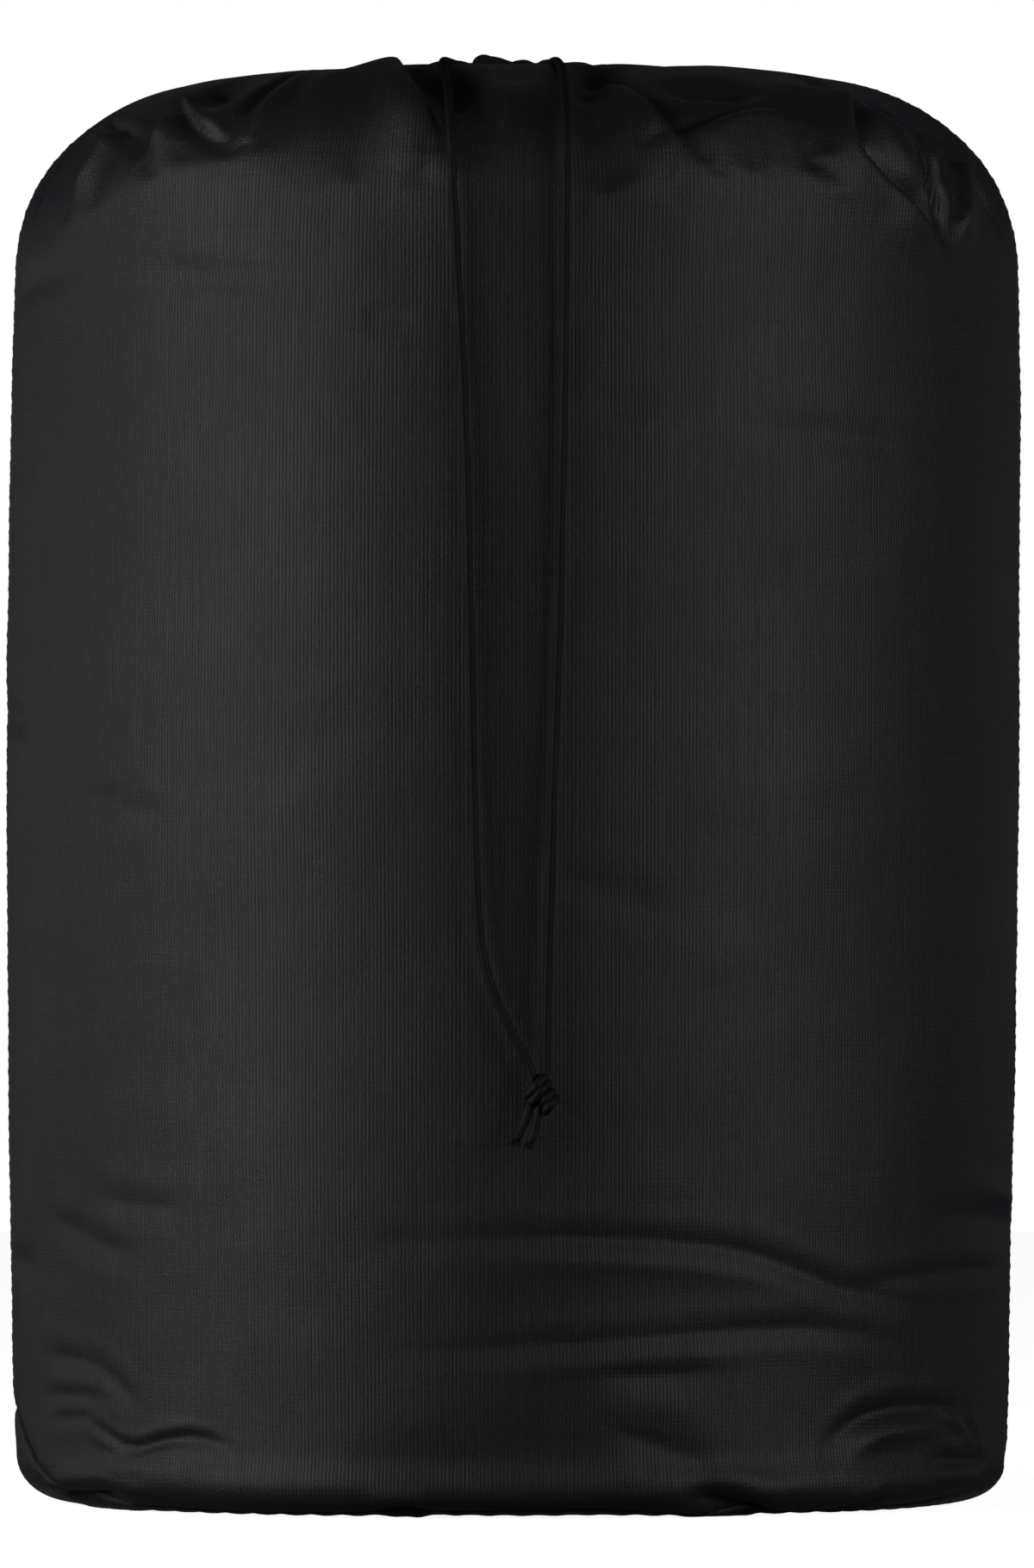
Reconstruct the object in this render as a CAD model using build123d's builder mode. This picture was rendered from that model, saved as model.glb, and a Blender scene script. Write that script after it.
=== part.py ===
"""Drawcord stuff sack, packed full and standing on its round base.

Units are millimetres.  The origin is at the centre of the base, on the surface
that the sack stands on.  +Z is up, and the cord hangs at the front (-Y).
"""
import os
from math import hypot, pi, radians, sqrt, tan

from build123d import *

os.makedirs("parts", exist_ok=True)

# --- driving dimensions: fabric body --------------------------------------------
FABRIC = 1.4              # wall of the shell, which also stands for the cloth's folds
BODY_RADIUS = 141.6       # widest place of the packed body
BULGE_HEIGHT = 190.0      # height of that widest place

FLOOR_RADIUS = 122.0      # round area that rests flat
CORNER_RADIUS = 15.4      # rounding between the floor and the side
CORNER_TOP = 12.0         # height where that rounding meets the side
BASE_SEAM_HEIGHT = 3.4
TAPE_THICK = 1.0          # seam tape caught between the base and the side panels
TAPE_OUTER = 132.0
TAPE_INNER = 127.6
TAPE_TOP = 12.0           # height of the tape's inner leg

SHOULDER_RADIUS = 138.4   # where the side turns into the shoulder
SHOULDER_HEIGHT = 346.0
SHOULDER_ACROSS = 60.0    # half axes of the shoulder's quarter ellipse
SHOULDER_RISE = 50.0

COLLAR_OUTER = 24.6       # the gathered top ends in a collar under the channel
COLLAR_INNER = 16.0
COLLAR_HEIGHT = 390.0

SEAM_HALF_ANGLE = 1.25    # degrees of the body on each side of a side seam's middle
SEAM_PROUD = 0.6
SEAM_ROW_OFFSET = 1.5     # the two rows of stitches of a felled side seam
THREAD_RADIUS = 0.35
THREAD_GAP = 0.05         # between a thread and what it is sewn to

# --- driving dimensions: drawcord channel and cord ------------------------------
CHANNEL_INNER = 12.4
CHANNEL_OUTER = 24.2
CHANNEL_TOP = 401.8
CHANNEL_ROUNDING = 3.5
CHANNEL_ROW_HEIGHT = 391.6   # the row of stitches that closes the hem
TUNNEL_RADIUS = 3.6

CORD_DIAMETER = 2.5
CORD_RING_RADIUS = 18.3   # the cord where it runs round inside the channel
CORD_HEIGHT = 395.8
EXIT_OFFSET = 8.0         # each exit, sideways from the middle of the front
EXIT_BEND = 4.0           # bend of the cord just behind an exit
EXIT_HOLE_RADIUS = 2.8
BUTTONHOLE_OUTER = 2.75
BUTTONHOLE_INNER = 1.7
BUTTONHOLE_BACK = 20.7    # where a buttonhole's binding starts and ends along Y
BUTTONHOLE_FRONT = 24.0

ARC_SHARE = 0.45          # part of the shorter run that an arc's tangent takes
SLIDE_GAP = 0.3           # between the still and the sliding part of a strand
SLIDE_GAP_HEIGHT = 340.0

# Hand-placed routes of the two strands, from the exit to the knot.
LEFT_ROUTE = [
    (-8.0, -24.2, 395.8), (-8.0, -33.0, 395.8), (-12.2, -48.0, 396.3),
    (-17.8, -65.0, 397.9), (-19.6, -83.0, 397.6), (-19.0, -104.0, 394.0),
    (-17.9, -125.0, 388.0), (-17.0, -139.5, 378.5), (-16.5, -144.6, 362.0),
    (-15.8, -144.0, 347.0), (-14.6, -142.5, 326.0), (-13.0, -144.0, 292.0),
    (-12.0, -144.9, 247.0), (-11.0, -145.1, 202.0), (-10.3, -145.7, 169.0),
    (-8.4, -145.7, 151.0), (-3.0, -146.3, 136.5), (4.4, -147.0, 123.0),
]
RIGHT_ROUTE = [
    (8.0, -24.2, 395.8), (8.0, -33.0, 395.8), (8.6, -48.0, 396.3),
    (10.4, -65.0, 397.9), (12.0, -83.0, 397.6), (13.4, -104.0, 394.0),
    (13.9, -125.2, 388.0), (14.2, -139.7, 378.5), (14.1, -144.8, 362.0),
    (14.0, -144.2, 347.0), (13.8, -142.7, 324.0), (13.2, -144.2, 286.0),
    (12.2, -144.9, 241.0), (10.6, -145.3, 197.0), (9.6, -145.9, 162.0),
    (8.9, -146.1, 140.0), (8.7, -147.0, 122.5),
]
LEFT_TAIL_ROUTE = [(4.6, -147.0, 112.6), (2.9, -147.3, 107.6), (0.6, -147.2, 103.0)]
RIGHT_TAIL_ROUTE = [(6.8, -147.6, 111.6), (6.1, -148.0, 106.8), (4.4, -147.9, 102.2)]

KNOT_CENTRE = (7.0, -147.2, 115.6)
KNOT_RADIUS = 5.2
KNOT_LENGTH = 11.6
KNOT_ROUNDING = 3.4
KNOT_LEAN = 28.0          # degrees that the knot's axis leans to the left

# --- worked out from the driving dimensions -------------------------------------
CORD_RADIUS = CORD_DIAMETER / 2
DOME_RADIUS = SHOULDER_RADIUS - SHOULDER_ACROSS
DOME_HEIGHT = SHOULDER_HEIGHT + SHOULDER_RISE
PANEL_FOOT = BASE_SEAM_HEIGHT + TAPE_THICK
SIDE_PLANE = Plane.XZ     # local x is +X and local y is +Z


def save(piece, label):
    """Name a finished piece and write it as the node of that name."""
    piece.part.label = label
    export_step(piece.part, f"parts/{label}.step")


# --- fabric body ----------------------------------------------------------------
def corner_point(height, proud=0.0):
    """Point of the rounded base edge at a height, moved out by proud."""
    across = (CORNER_RADIUS + proud) ** 2 - (CORNER_RADIUS - height) ** 2
    return (FLOOR_RADIUS + sqrt(across), height)


def corner_line(low, high, proud):
    """The rounded base edge between two heights."""
    ThreePointArc(
        corner_point(low, proud), corner_point((low + high) / 2, proud), corner_point(high, proud)
    )


def side_line(proud):
    """The nearly straight side, from the rounded base edge to the shoulder."""
    ThreePointArc(
        corner_point(CORNER_TOP, proud),
        (BODY_RADIUS + proud, BULGE_HEIGHT),
        (SHOULDER_RADIUS + proud, SHOULDER_HEIGHT),
    )


def shoulder_line(proud):
    """The rounded shoulder, up to the dished top."""
    EllipticalCenterArc(
        (DOME_RADIUS, SHOULDER_HEIGHT),
        SHOULDER_ACROSS + proud,
        SHOULDER_RISE + proud,
        start_angle=0,
        arc_size=90,
    )


def dished_line(proud):
    """The top from the shoulder down to the collar."""
    TangentArc(
        (DOME_RADIUS, DOME_HEIGHT + proud),
        (COLLAR_OUTER, COLLAR_HEIGHT + proud),
        tangent=(-1, 0),
    )


def side_section(proud):
    """Closed section of a side panel up to the shoulder."""
    for shift in (proud, -FABRIC):
        corner_line(PANEL_FOOT, CORNER_TOP, shift)
        side_line(shift)
    Line(corner_point(PANEL_FOOT, -FABRIC), corner_point(PANEL_FOOT, proud))
    Line(
        (SHOULDER_RADIUS - FABRIC, SHOULDER_HEIGHT),
        (SHOULDER_RADIUS + proud, SHOULDER_HEIGHT),
    )


def gathers_section(proud):
    """Closed section of the gathered top, with the collar that carries the channel."""
    for shift in (proud, -FABRIC):
        shoulder_line(shift)
        dished_line(shift)
    Line(
        (SHOULDER_RADIUS - FABRIC, SHOULDER_HEIGHT),
        (SHOULDER_RADIUS + proud, SHOULDER_HEIGHT),
    )
    if proud > 0:
        Line((COLLAR_OUTER, COLLAR_HEIGHT + proud), (COLLAR_OUTER, COLLAR_HEIGHT))
    Polyline(
        (COLLAR_OUTER, COLLAR_HEIGHT),
        (COLLAR_INNER, COLLAR_HEIGHT),
        (COLLAR_INNER, COLLAR_HEIGHT - FABRIC),
        (COLLAR_OUTER, COLLAR_HEIGHT - FABRIC),
    )


def sector(sections, proud, start, size):
    """Solid of sections turned about Z from a start angle, counted from +X."""
    with BuildPart() as piece:
        for section in sections:
            with BuildSketch(SIDE_PLANE.rotated((0, 0, start))):
                with BuildLine():
                    section(proud)
                make_face()
            revolve(axis=Axis.Z, revolution_arc=size)
    return piece


half = 180 - 2 * SEAM_HALF_ANGLE
seam = 2 * SEAM_HALF_ANGLE
for side, start in (("front", 180 + SEAM_HALF_ANGLE), ("back", SEAM_HALF_ANGLE)):
    save(sector([side_section], 0, start, half), f"{side}_panel")
    save(sector([gathers_section], 0, start, half), f"{side}_gathers")
for side, start in (("right", -SEAM_HALF_ANGLE), ("left", 180 - SEAM_HALF_ANGLE)):
    strip = sector([side_section, gathers_section], SEAM_PROUD, start, seam)
    save(strip, f"side_seam_{side}")

with BuildPart() as base_panel:
    with BuildSketch(SIDE_PLANE):
        with BuildLine():
            Line((0, 0), (FLOOR_RADIUS, 0))
            TangentArc((FLOOR_RADIUS, 0), corner_point(BASE_SEAM_HEIGHT), tangent=(1, 0))
            Line(corner_point(BASE_SEAM_HEIGHT), corner_point(BASE_SEAM_HEIGHT, -FABRIC))
            TangentArc(
                (FLOOR_RADIUS, FABRIC), corner_point(BASE_SEAM_HEIGHT, -FABRIC), tangent=(1, 0)
            )
            Polyline((FLOOR_RADIUS, FABRIC), (0, FABRIC), (0, 0))
        make_face()
    revolve(axis=Axis.Z)
save(base_panel, "base_panel")

# Seam tape: a flange caught in the base seam, and a leg that stands on the inside.
with BuildPart() as base_seam_tape:
    with BuildSketch(SIDE_PLANE):
        with BuildLine():
            Polyline(
                (TAPE_INNER, BASE_SEAM_HEIGHT),
                (TAPE_OUTER, BASE_SEAM_HEIGHT),
                (TAPE_OUTER, PANEL_FOOT),
                (TAPE_INNER + TAPE_THICK, PANEL_FOOT),
                (TAPE_INNER + TAPE_THICK, TAPE_TOP),
                (TAPE_INNER, TAPE_TOP),
                close=True,
            )
        make_face()
    revolve(axis=Axis.Z)
save(base_seam_tape, "base_seam_tape")


# --- thread ---------------------------------------------------------------------
def thread_ring(label, seat_radius, height):
    """A row of stitches round the sack, on a seat of that radius."""
    with BuildPart() as row:
        with BuildSketch(SIDE_PLANE):
            with Locations((seat_radius + THREAD_GAP + THREAD_RADIUS, height)):
                Circle(THREAD_RADIUS)
        revolve(axis=Axis.Z)
    save(row, label)


def side_seam_thread(label, side):
    """Two rows of stitches up a side seam; side is 1 on the right, -1 on the left."""
    lift = SEAM_PROUD + 2 * THREAD_GAP + THREAD_RADIUS
    with BuildPart() as rows:
        for offset in (-SEAM_ROW_OFFSET, SEAM_ROW_OFFSET):
            plane = Plane(origin=(0, offset, 0), x_dir=(side, 0, 0), z_dir=(0, -side, 0))
            with BuildLine(plane) as row:
                side_line(lift)
                shoulder_line(lift)
            path = row.wires()[0]
            with BuildSketch(Plane(origin=path @ 0, z_dir=path % 0)):
                Circle(THREAD_RADIUS)
            sweep(path=path)
    save(rows, label)


thread_ring("base_seam_thread", TAPE_OUTER, BASE_SEAM_HEIGHT + TAPE_THICK / 2)
thread_ring("channel_thread", CHANNEL_OUTER, CHANNEL_ROW_HEIGHT)
side_seam_thread("side_seam_thread_right", 1)
side_seam_thread("side_seam_thread_left", -1)

# --- drawcord channel -----------------------------------------------------------
# The folded hem, gathered into a ring, with a tunnel for the cord and two exits.
with BuildPart() as drawcord_channel:
    with BuildSketch(SIDE_PLANE):
        with BuildLine():
            Polyline(
                (CHANNEL_INNER, COLLAR_HEIGHT),
                (CHANNEL_OUTER, COLLAR_HEIGHT),
                (CHANNEL_OUTER, CHANNEL_TOP),
                (CHANNEL_INNER, CHANNEL_TOP),
                close=True,
            )
        ring = make_face()
        fillet(ring.vertices().group_by(Axis.Y)[-1], CHANNEL_ROUNDING)
    revolve(axis=Axis.Z)
    with BuildSketch(SIDE_PLANE):
        with Locations((CORD_RING_RADIUS, CORD_HEIGHT)):
            Circle(TUNNEL_RADIUS)
    revolve(axis=Axis.Z, mode=Mode.SUBTRACT)
    with BuildSketch(Plane.XZ.offset(CORD_RING_RADIUS)):
        with Locations((-EXIT_OFFSET, CORD_HEIGHT), (EXIT_OFFSET, CORD_HEIGHT)):
            Circle(EXIT_HOLE_RADIUS)
    extrude(amount=CHANNEL_OUTER, mode=Mode.SUBTRACT)
save(drawcord_channel, "drawcord_channel")

with BuildPart() as buttonholes:
    with BuildSketch(Plane.XZ.offset(BUTTONHOLE_BACK)):
        with Locations((-EXIT_OFFSET, CORD_HEIGHT), (EXIT_OFFSET, CORD_HEIGHT)):
            Circle(BUTTONHOLE_OUTER)
            Circle(BUTTONHOLE_INNER, mode=Mode.SUBTRACT)
    extrude(amount=BUTTONHOLE_FRONT - BUTTONHOLE_BACK)
save(buttonholes, "buttonholes")


# --- drawcord -------------------------------------------------------------------
def arc_radii(points):
    """Radius of the arc at each inner point: as large as its two runs allow."""
    radii = []
    for before, here, after in zip(points, points[1:], points[2:]):
        turn = (here - before).get_angle(after - here)
        run = min((here - before).length, (after - here).length)
        radii.append(ARC_SHARE * run / tan(radians(turn) / 2))
    return radii


def cord_tube(label, points):
    """A tube of the cord along straight runs joined by tangent arcs."""
    points = [Vector(*point) for point in points]
    radii = arc_radii(points)
    with BuildPart() as tube:
        with BuildLine() as route:
            FilletPolyline(*points, radius=radii)
        path = route.wires()[0]
        with BuildSketch(Plane(origin=path @ 0, z_dir=path % 0)):
            Circle(CORD_RADIUS)
        sweep(path=path)
    expected = pi * CORD_RADIUS**2 * path.length
    print(f"{label}: length {path.length:.1f}, smallest radius {min(radii):.1f}, "
          f"volume {tube.part.volume:.1f} of {expected:.1f}")
    print("   radii", " ".join(f"{radius:.0f}" for radius in radii))
    save(tube, label)


def split_strand(route):
    """Divide a strand's route at the gap between its still and its sliding part."""
    upper = [point for point in route if point[2] > SLIDE_GAP_HEIGHT]
    lower = route[len(upper):]
    above, below = Vector(*upper[-1]), Vector(*lower[0])
    share = (above.Z - SLIDE_GAP_HEIGHT) / (above.Z - below.Z)
    end = above + (below - above) * share
    start = end + (below - above).normalized() * SLIDE_GAP
    return upper + [tuple(end)], [tuple(start)] + lower


# Inside the channel the cord comes in at one exit, bends to the side, runs round
# the back on a circle and leaves at the other exit.
with BuildPart() as drawcord_in_channel:
    bend_x = EXIT_OFFSET + EXIT_BEND
    bend_y = -sqrt((CORD_RING_RADIUS + EXIT_BEND) ** 2 - bend_x**2)
    meet = CORD_RING_RADIUS / hypot(bend_x, bend_y)
    meet_x, meet_y = bend_x * meet, bend_y * meet
    with BuildLine(Plane.XY.offset(CORD_HEIGHT)) as ring_route:
        Line((-EXIT_OFFSET, -CHANNEL_OUTER), (-EXIT_OFFSET, bend_y))
        RadiusArc((-EXIT_OFFSET, bend_y), (-meet_x, meet_y), -EXIT_BEND)
        ThreePointArc((-meet_x, meet_y), (0, CORD_RING_RADIUS), (meet_x, meet_y))
        RadiusArc((meet_x, meet_y), (EXIT_OFFSET, bend_y), -EXIT_BEND)
        Line((EXIT_OFFSET, bend_y), (EXIT_OFFSET, -CHANNEL_OUTER))
    ring_path = ring_route.wires()[0]
    with BuildSketch(Plane(origin=ring_path @ 0, z_dir=ring_path % 0)):
        Circle(CORD_RADIUS)
    sweep(path=ring_path)
save(drawcord_in_channel, "drawcord_in_channel")

left_top, left_strand = split_strand(LEFT_ROUTE)
right_top, right_strand = split_strand(RIGHT_ROUTE)
cord_tube("drawcord_left_top", left_top)
cord_tube("drawcord_right_top", right_top)
cord_tube("drawcord_left_strand", left_strand)
cord_tube("drawcord_right_strand", right_strand)
cord_tube("drawcord_left_tail", LEFT_TAIL_ROUTE)
cord_tube("drawcord_right_tail", RIGHT_TAIL_ROUTE)

# The overhand knot that ties both strands together, as a rounded barrel.
with BuildPart() as drawcord_knot:
    with Locations(Location(KNOT_CENTRE, (0, -KNOT_LEAN, 0))):
        Cylinder(KNOT_RADIUS, KNOT_LENGTH)
    fillet(drawcord_knot.edges().filter_by(GeomType.CIRCLE), KNOT_ROUNDING)
save(drawcord_knot, "drawcord_knot")
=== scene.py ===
"""Looks of the drawcord stuff sack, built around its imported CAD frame.

Everything is in metres, in the CAD model's frame: the origin is at the centre of
the base, +Z is up and the cord hangs at the front (-Y).  Angles round the sack
are counted from the front towards +X.
"""

import math

import bpy
import numpy as np
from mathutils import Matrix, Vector


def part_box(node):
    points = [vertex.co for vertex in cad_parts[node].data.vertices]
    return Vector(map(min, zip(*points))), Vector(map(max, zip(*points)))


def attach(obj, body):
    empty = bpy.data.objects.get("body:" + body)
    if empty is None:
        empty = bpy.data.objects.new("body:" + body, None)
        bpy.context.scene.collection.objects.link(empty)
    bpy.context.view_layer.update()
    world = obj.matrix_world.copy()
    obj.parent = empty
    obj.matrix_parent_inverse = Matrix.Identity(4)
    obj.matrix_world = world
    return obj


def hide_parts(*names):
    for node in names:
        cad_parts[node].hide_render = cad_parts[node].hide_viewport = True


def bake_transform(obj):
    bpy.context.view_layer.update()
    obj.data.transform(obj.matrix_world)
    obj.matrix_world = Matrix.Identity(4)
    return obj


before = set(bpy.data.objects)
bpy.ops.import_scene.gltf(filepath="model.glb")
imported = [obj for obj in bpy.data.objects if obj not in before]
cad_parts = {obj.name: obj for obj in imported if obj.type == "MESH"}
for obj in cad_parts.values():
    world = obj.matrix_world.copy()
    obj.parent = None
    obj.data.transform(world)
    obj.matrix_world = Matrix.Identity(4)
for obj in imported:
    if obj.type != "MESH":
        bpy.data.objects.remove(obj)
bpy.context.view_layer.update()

MM = 0.001

# --- sizes from the frame ---
panel_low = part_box("front_panel")[0]
exits_low, exits_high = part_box("buttonholes")
ring_low, ring_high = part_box("drawcord_in_channel")
knot_low, knot_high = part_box("drawcord_knot")

BODY_RADIUS = -panel_low.y
CORD_DIAMETER = ring_high.z - ring_low.z
CORD_HEIGHT = (ring_high.z + ring_low.z) / 2
CORD_RING_RADIUS = ring_high.x - CORD_DIAMETER / 2
CORD_EXIT_Y = ring_low.y
EXIT_RADIUS = (exits_high.z - exits_low.z) / 2
EXIT_OFFSET = exits_high.x - EXIT_RADIUS
KNOT_CENTRE = (knot_low + knot_high) / 2

# --- camera ---
VIEW_DISTANCE = 5.0
VIEW_SIDE, VIEW_HEIGHT = 0.0009, 0.1994
FRAME_HEIGHT = 0.4368     # height of the picture at the sack's axis

camera_data = bpy.data.cameras.new("camera")
camera_data.lens = camera_data.sensor_width * VIEW_DISTANCE / FRAME_HEIGHT
camera_data.clip_end = 50
camera = bpy.data.objects.new("camera", camera_data)
camera.location = (VIEW_SIDE, -VIEW_DISTANCE, VIEW_HEIGHT)
camera.rotation_euler = (math.pi / 2, 0, 0)
bpy.context.scene.collection.objects.link(camera)
bpy.context.scene.camera = camera


# --- materials ---
class Material:
    """A node material with short calls to add nodes to it."""

    def __init__(self, name, **sockets):
        self.data = bpy.data.materials.new(name)
        self.data.use_nodes = True
        self.tree = self.data.node_tree
        self.shader = self.tree.nodes["Principled BSDF"]
        for socket, value in sockets.items():
            self.shader.inputs[socket.replace("_", " ")].default_value = value

    def put(self, socket, value):
        if isinstance(value, bpy.types.NodeSocket):
            self.tree.links.new(value, socket)
        else:
            socket.default_value = value

    def node(self, kind, output=0, options=None, **inputs):
        node = self.tree.nodes.new(kind)
        for option, value in (options or {}).items():
            setattr(node, option, value)
        for socket, value in inputs.items():
            self.put(node.inputs[socket.replace("_", " ")], value)
        return node.outputs[output]

    def math(self, operation, *values):
        node = self.tree.nodes.new("ShaderNodeMath")
        node.operation = operation
        for socket, value in zip(node.inputs, values):
            self.put(socket, value)
        return node.outputs[0]

    def weighted(self, *terms):
        """The sum of values, each times its weight."""
        total = 0.0
        for value, weight in terms:
            total = self.math("MULTIPLY_ADD", value, weight, total)
        return total

    def rows(self, value, rate):
        """Rounded rows, from 0 between two of them to 1 on top of one."""
        return self.math("ABSOLUTE", self.math("SINE", self.math("MULTIPLY", value, rate)))

    def noise(self, place, scale, detail=2.0, roughness=0.5):
        return self.node("ShaderNodeTexNoise", Vector=place, Scale=scale, Detail=detail,
                         Roughness=roughness)

    def ramp(self, value, low, high, start=0.0, end=1.0):
        return self.node("ShaderNodeMapRange", Value=value, From_Min=start, From_Max=end,
                         To_Min=low, To_Max=high)

    def colour(self, value, dark, light):
        ramp = self.tree.nodes.new("ShaderNodeValToRGB")
        ramp.color_ramp.elements[0].color = (*dark, 1)
        ramp.color_ramp.elements[1].color = (*light, 1)
        self.put(ramp.inputs["Fac"], value)
        self.put(self.shader.inputs["Base Color"], ramp.outputs["Color"])

    def bump(self, height, strength, distance, under=None):
        inputs = {"Height": height, "Strength": strength, "Distance": distance}
        if under is not None:
            inputs["Normal"] = under
        return self.node("ShaderNodeBump", **inputs)

    def finish(self, normal=None, roughness=None):
        if normal is not None:
            self.put(self.shader.inputs["Normal"], normal)
        if roughness is not None:
            self.put(self.shader.inputs["Roughness"], roughness)
        return self.data


YARN_SCALE = 0.7          # streaks of a yarn, per thread
YARN_RUN = 30.0           # the same along the yarn, per metre
GRAIN_SCALE = 0.8         # specks, per thread
SHADE_RANGE = (0.43, 0.92)
ROUGHNESS_SPREAD = 0.14
CRINKLE_DEPTH, RIB_DEPTH, GRAIN_DEPTH, WEAVE_DEPTH = 0.9 * MM, 0.14 * MM, 0.16 * MM, 0.06 * MM


def woven(name, pitch, dark, light, roughness, sheen, weave=0.3, crinkle=0.25):
    """Plain-woven cloth on the piece's UV map, which is laid out in metres."""
    cloth = Material(name, Sheen_Weight=sheen, Sheen_Roughness=0.35, Specular_IOR_Level=0.5)
    place = cloth.node("ShaderNodeTexCoord", output=2)
    split = cloth.node("ShaderNodeSeparateXYZ", Vector=place).node
    across, along = (cloth.math("MULTIPLY", split.outputs[k], 1 / pitch) for k in (0, 1))
    warp, weft, rib = (cloth.rows(value, rate) for value, rate in
                       ((across, math.pi), (along, math.pi), (across, math.pi / 2)))
    squares = cloth.math("ADD", cloth.math("FLOOR", across), cloth.math("FLOOR", along))
    over = cloth.math("ABSOLUTE", cloth.math("MODULO", squares, 2.0))
    threads = cloth.weighted((warp, over), (weft, cloth.math("SUBTRACT", 1.0, over)))
    patches = cloth.noise(place, 22.0, detail=3.0)
    fine = YARN_SCALE / pitch
    streaks = [cloth.noise(cloth.node("ShaderNodeMapping", Vector=place, Scale=scale), 1.0)
               for scale in ((fine, YARN_RUN, 1), (YARN_RUN, fine, 1))]
    yarn = cloth.weighted((streaks[0], 0.6), (streaks[1], 0.4))
    grain = cloth.noise(place, GRAIN_SCALE / pitch, roughness=0.7)
    # painted shade: the colour is darker between threads and between ribs; the patches, yarn streaks and
    # grain are the cloth's own uneven tone
    shade = cloth.weighted((threads, 0.2), (patches, 0.15), (yarn, 0.4), (grain, 0.5), (rib, 0.11))
    cloth.colour(cloth.ramp(shade, 0.0, 1.0, *SHADE_RANGE), dark, light)
    soft = cloth.noise(place, 95.0, detail=4.0, roughness=0.55)
    normal = cloth.bump(soft, crinkle, CRINKLE_DEPTH)
    for height, strength, depth in ((cloth.weighted((yarn, 1.0), (rib, 0.5)), 0.8, RIB_DEPTH),
                                    (grain, 0.7, GRAIN_DEPTH),
                                    (threads, weave, WEAVE_DEPTH)):
        normal = cloth.bump(height, strength, depth, under=normal)
    rough = cloth.ramp(cloth.weighted((patches, 0.4), (yarn, 0.6)), roughness - ROUGHNESS_SPREAD,
                       roughness + ROUGHNESS_SPREAD, 0.2, 0.8)
    return cloth.finish(normal, rough)


GROOVE_PAINTED_SHADE = 0.9        # painted shade: how much darker the colour is in the grooves of the braid


def twisted(name, dark, light, roughness, scale):
    """Thread or braid whose strands are real geometry: fibres, and painted shade in the grooves."""
    thread = Material(name, Specular_IOR_Level=0.2)
    place = thread.node("ShaderNodeTexCoord", output=3)
    fibres = thread.noise(place, scale, detail=3.0)
    groove = thread.node("ShaderNodeAttribute", output=2, options={"attribute_name": "groove"})
    # painted shade: the colour is darkened where the braid's grooves are
    thread.colour(thread.weighted((fibres, 1.0), (groove, -GROOVE_PAINTED_SHADE)), dark, light)
    return thread.finish(thread.bump(fibres, 0.5, 0.08 * MM),
                         thread.ramp(fibres, roughness - 0.08, roughness + 0.08))


body_cloth = woven("body_nylon", 0.55 * MM, (0.004, 0.0041, 0.0052), (0.028, 0.0285, 0.033),
                   roughness=0.47, sheen=0.05, weave=0.55)
base_cloth = woven("base_nylon", 0.5 * MM, (0.007, 0.007, 0.0076), (0.016, 0.016, 0.017),
                   roughness=0.5, sheen=0.12)
tape_cloth = woven("tape_weave", 0.9 * MM, (0.006, 0.006, 0.0062), (0.016, 0.016, 0.0165),
                   roughness=0.7, sheen=0.2, weave=0.6, crinkle=0.1)
sewing = twisted("sewing_thread", (0.008, 0.008, 0.0085), (0.026, 0.026, 0.027),
                 roughness=0.5, scale=1800.0)
braid = twisted("cord_braid", (0.0022, 0.002, 0.002), (0.034, 0.0315, 0.031),
                roughness=0.6, scale=1400.0)


# --- mesh helpers ---
def make_mesh(name, points, faces, material, uv=None, smooth=True):
    """A mesh object from points and faces; uv is one pair per point."""
    mesh = bpy.data.meshes.new(name)
    mesh.from_pydata([tuple(p) for p in points], [], [tuple(f) for f in faces])
    mesh.materials.append(material)
    mesh.polygons.foreach_set("use_smooth", [smooth] * len(mesh.polygons))
    if uv is not None:
        layer = mesh.uv_layers.new(name="metres")
        corners = np.empty(len(mesh.loops), dtype=np.int32)
        mesh.loops.foreach_get("vertex_index", corners)
        layer.data.foreach_set("uv", np.asarray(uv, np.float32)[corners].ravel())
    mesh.update()
    piece = bpy.data.objects.new(name, mesh)
    bpy.context.scene.collection.objects.link(piece)
    return piece


def grid_faces(rows, columns, closed=False):
    """Quads of a grid of points stored row by row; closed joins the last column to the first."""
    last = columns if closed else columns - 1
    return [
        (r * columns + c, r * columns + (c + 1) % columns,
         (r + 1) * columns + (c + 1) % columns, (r + 1) * columns + c)
        for r in range(rows - 1) for c in range(last)
    ]


def nurbs_line(points):
    """The smooth line of a route: points read from its NURBS spline."""
    curve = bpy.data.curves.new("route", "CURVE")
    curve.dimensions = "3D"
    curve.resolution_u = 24
    spline = curve.splines.new("NURBS")
    spline.points.add(len(points) - 1)
    for spot, point in zip(spline.points, points):
        spot.co = (*point, 1.0)
    spline.order_u = 3
    spline.use_endpoint_u = True
    holder = bpy.data.objects.new("route", curve)
    mesh = bpy.data.meshes.new_from_object(holder)
    line = np.array([v.co for v in mesh.vertices], float)
    bpy.data.meshes.remove(mesh)
    bpy.data.curves.remove(curve)
    return line


def unit(vectors):
    """The vectors, each with a length of 1."""
    return vectors / np.linalg.norm(vectors, axis=-1, keepdims=True)


def lengths_along(line):
    """How far along a line each of its points is."""
    return np.concatenate([[0], np.cumsum(np.linalg.norm(np.diff(line, axis=0), axis=1))])


def read_at(line, along, places):
    """Points of a line at some places; along says where each known point is."""
    return np.stack([np.interp(places, along, values) for values in line.T], axis=-1)


def evenly(line, step):
    """The line again, with points one step apart, and how far along each is."""
    along = lengths_along(line)
    places = np.linspace(0, along[-1], max(2, int(round(along[-1] / step)) + 1))
    return read_at(line, along, places), places


def frames(line):
    """Two directions across the line at each of its points, without twist."""
    ahead = unit(np.gradient(line, axis=0))
    side = np.cross(ahead[0], (0.3, 0.5, 0.81))
    sides = []
    for direction in ahead:
        side = unit(side - direction * (side @ direction))
        sides.append(side)
    sides = np.array(sides)
    return sides, np.cross(ahead, sides)


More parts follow.
